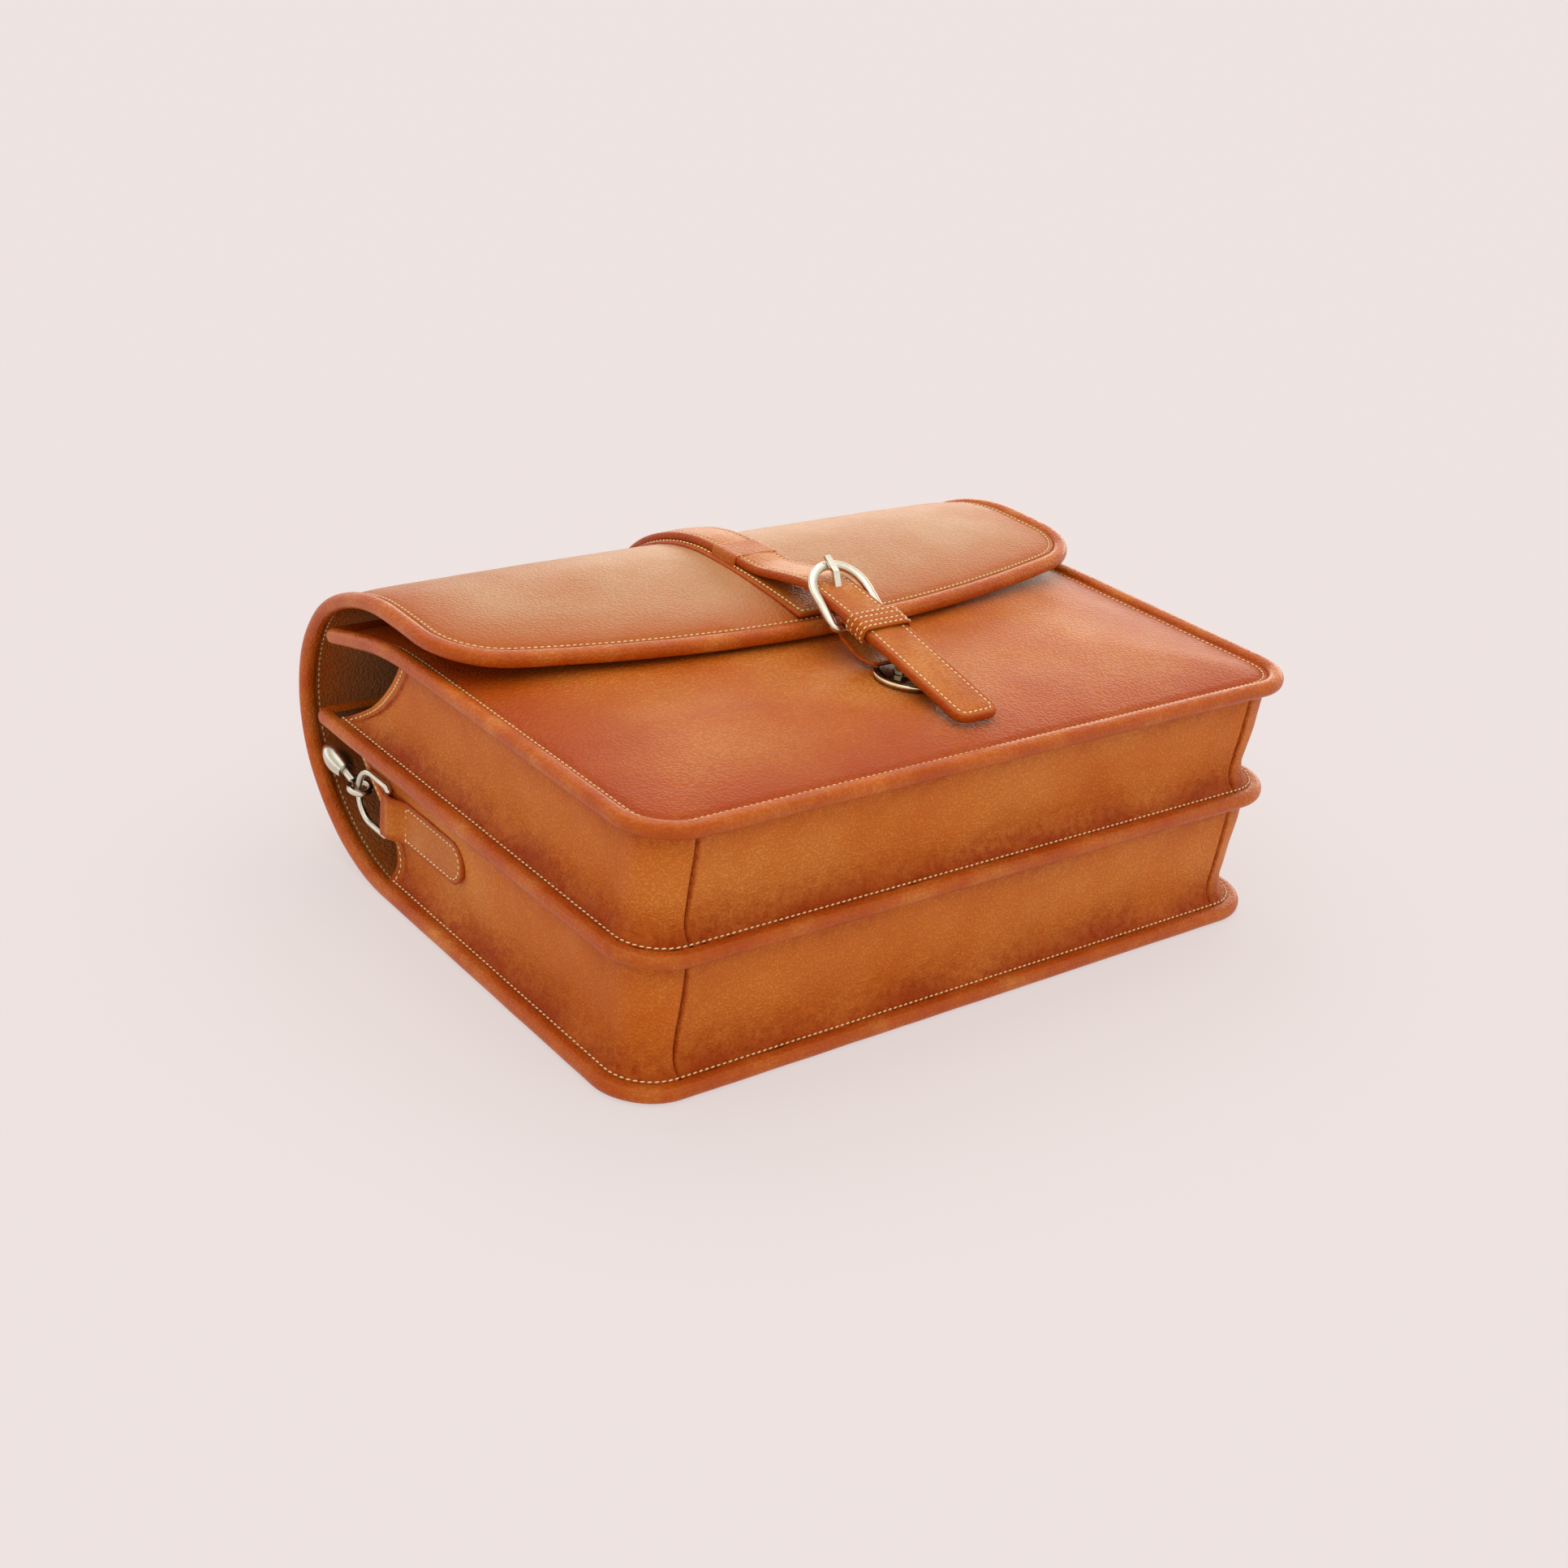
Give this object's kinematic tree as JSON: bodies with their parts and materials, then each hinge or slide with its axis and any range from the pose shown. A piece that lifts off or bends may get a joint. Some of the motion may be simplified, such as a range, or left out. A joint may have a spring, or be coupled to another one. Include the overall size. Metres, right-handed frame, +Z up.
{
  "type": "leather briefcase",
  "caption": "Flap-over leather briefcase with gusseted compartments, belt strap with buckle and turn clasp, side D-rings with a snap hook, and a top handle.",
  "frame": {"origin": "on the floor under the middle of the whole briefcase, which lies on its back", "axes": "+Z up from the floor, +X across the width, +Y from the bag's bottom edge towards its top edge and handle"},
  "size_m": [0.406, 0.3316, 0.1799],
  "materials": {
    "tan_leather": "burnished pebbled grain, semi-gloss",
    "gusset_leather": "soft pebbled grain, satin",
    "lining_leather": "matt",
    "suede_lining": "napped, matt",
    "board": "matt",
    "padding": "foam, matt",
    "core": "cord, matt",
    "satin_nickel": "satin",
    "dark_chrome": "polished"
  },
  "bodies": {
    "bag": {"back_board": "board", "back_edge_roll": "tan_leather", "back_lining": "suede_lining", "back_panel": "tan_leather", "clasp_base": "dark_chrome", "clasp_screws": "dark_chrome", "front_board": "board", "front_edge_roll": "tan_leather", "front_gusset_bottom": "gusset_leather", "front_gusset_left": "gusset_leather", "front_gusset_lining": "suede_lining", "front_gusset_right": "gusset_leather", "front_lining": "suede_lining", "front_padding": "padding", "front_panel": "tan_leather", "inner_pocket": "lining_leather", "middle_edge_roll": "tan_leather", "middle_panel": "tan_leather", "rear_gusset_bottom": "gusset_leather", "rear_gusset_left": "gusset_leather", "rear_gusset_lining": "suede_lining", "rear_gusset_right": "gusset_leather", "ring_tab_left": "tan_leather", "ring_tab_right": "tan_leather"},
    "spine": {"spine_leather": "tan_leather", "spine_lining": "suede_lining", "spine_edge_roll_left": "tan_leather", "spine_edge_roll_right": "tan_leather", "handle_tab_left": "tan_leather", "handle_tab_right": "tan_leather", "handle_rivets": "satin_nickel"},
    "flap": {"flap_leather": "tan_leather", "flap_lining": "suede_lining", "flap_edge_roll": "tan_leather", "base_strap": "tan_leather", "bridge_band": "tan_leather", "belt_strap": "tan_leather", "buckle_tab": "tan_leather", "clasp_tongue": "dark_chrome"},
    "handle": {"handle_ring_left": "satin_nickel", "handle_ring_right": "satin_nickel", "handle_chape_left": "tan_leather", "handle_chape_right": "tan_leather", "handle_grip": "tan_leather", "handle_core": "core"},
    "buckle": {"buckle_frame": "satin_nickel"},
    "prong": {"buckle_prong": "satin_nickel"},
    "keeper": {"strap_keeper": "tan_leather"},
    "knob": {"clasp_knob": "dark_chrome"},
    "ring_left": {"d_ring_left": "satin_nickel"},
    "ring_right": {"d_ring_right": "satin_nickel"},
    "hook": {"hook_body": "satin_nickel"},
    "gate": {"hook_gate": "satin_nickel"},
    "swivel": {"hook_swivel": "satin_nickel"}
  },
  "joints": [
    {"name": "flap_lean", "type": "hinge", "parent": "bag", "child": "spine", "pos_m": [0, 0.13903, 0.0392], "axis": [-1, 0, 0], "range_deg": [0, 50]},
    {"name": "flap_fold", "type": "hinge", "parent": "spine", "child": "flap", "pos_m": [0, 0.14549, 0.11299], "axis": [-1, 0, 0], "range_deg": [0, 115]},
    {"name": "handle_swing", "type": "hinge", "parent": "spine", "child": "handle", "pos_m": [0, 0.15885, 0.08107], "axis": [1, 0, 0], "range_deg": [-2, 120]},
    {"name": "buckle_lift", "type": "hinge", "parent": "flap", "child": "buckle", "pos_m": [0, -0.04884, 0.1539], "axis": [1, 0, 0], "range_deg": [0, 3]},
    {"name": "prong_lift", "type": "hinge", "parent": "buckle", "child": "prong", "pos_m": [0, -0.04884, 0.1539], "axis": [1, 0, 0], "range_deg": [0, 3]},
    {"name": "keeper_slide", "type": "slide", "parent": "flap", "child": "keeper", "axis": [0, -0.9757, -0.2189], "range_m": [0, 0.008]},
    {"name": "knob_turn", "type": "hinge", "parent": "bag", "child": "knob", "pos_m": [0, -0.08685, 0.141], "axis": [0, 0, 1], "range_deg": [0, 90]},
    {"name": "ring_left_swing", "type": "hinge", "parent": "bag", "child": "ring_left", "pos_m": [-0.1969, 0.06416, 0.044], "axis": [0, 0, 1], "range_deg": [0, 150]},
    {"name": "ring_right_swing", "type": "hinge", "parent": "bag", "child": "ring_right", "pos_m": [0.1969, 0.06416, 0.044], "axis": [0, 0, -1], "range_deg": [0, 150]},
    {"name": "hook_swing", "type": "hinge", "parent": "ring_left", "child": "hook", "pos_m": [-0.1969, 0.09516, 0.044], "axis": [0, 0, 1], "range_deg": [-15, 15]},
    {"name": "gate_press", "type": "hinge", "parent": "hook", "child": "gate", "pos_m": [-0.1996, 0.1, 0.04481], "axis": [0, -0.2079, 0.9781], "range_deg": [0, 18], "stiffness_Nm_per_rad": 0.01, "springref_deg": -20.05},
    {"name": "swivel_turn", "type": "hinge", "parent": "hook", "child": "swivel", "pos_m": [-0.19585, 0.0962, 0.044], "axis": [0, 0.9781, 0.2079], "continuous": true}
  ]
}
